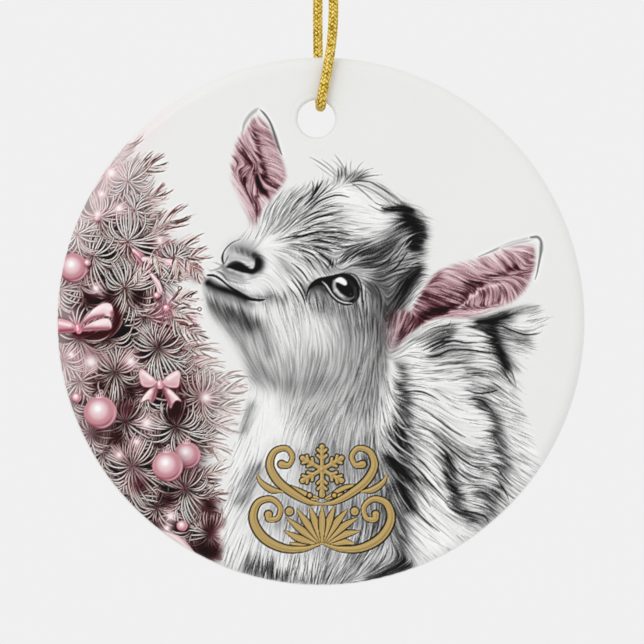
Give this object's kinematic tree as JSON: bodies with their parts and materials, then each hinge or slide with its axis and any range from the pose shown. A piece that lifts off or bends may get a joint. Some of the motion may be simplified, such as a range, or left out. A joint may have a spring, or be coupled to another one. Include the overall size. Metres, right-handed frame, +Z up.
{
  "type": "ceramic hanging ornament",
  "caption": "Round glazed ceramic ornament with a printed picture on its front, hung by a knotted loop of braided gold cord through a hole near its top edge.",
  "frame": {"origin": "the hang point: the inside top of the cord loop, just under its knot, where a hook or twig carries the ornament", "axes": "+Z up along the loop, +X to the viewer's right, and the printed face looks towards -Y"},
  "size_m": [0.073, 0.0072, 0.1337],
  "materials": {
    "white_glaze": "gloss",
    "printed_picture": "gloss",
    "gold_cord": "metallic thread"
  },
  "bodies": {
    "hanger": {"cord_knot": "gold_cord", "cord_tail_front": "gold_cord", "cord_tail_back": "gold_cord"},
    "neck": {"cord_neck": "gold_cord"},
    "loop": {"cord_loop": "gold_cord"},
    "ornament": {"porcelain_disc": "white_glaze", "printed_coating": "printed_picture"}
  },
  "joints": [
    {"name": "sway", "type": "hinge", "parent": "hanger", "child": "neck", "pos_m": [0, 0, 0], "axis": [1, 0, 0], "range_deg": [-30, 30]},
    {"name": "twist", "type": "hinge", "parent": "neck", "child": "loop", "pos_m": [0, 0, -0.004], "axis": [0, 0, 1], "range_deg": [-180, 180], "stiffness_Nm_per_rad": 0.000016},
    {"name": "swing", "type": "hinge", "parent": "loop", "child": "ornament", "pos_m": [0, 0, -0.05533], "axis": [0, 1, 0], "range_deg": [-45, 45]}
  ]
}
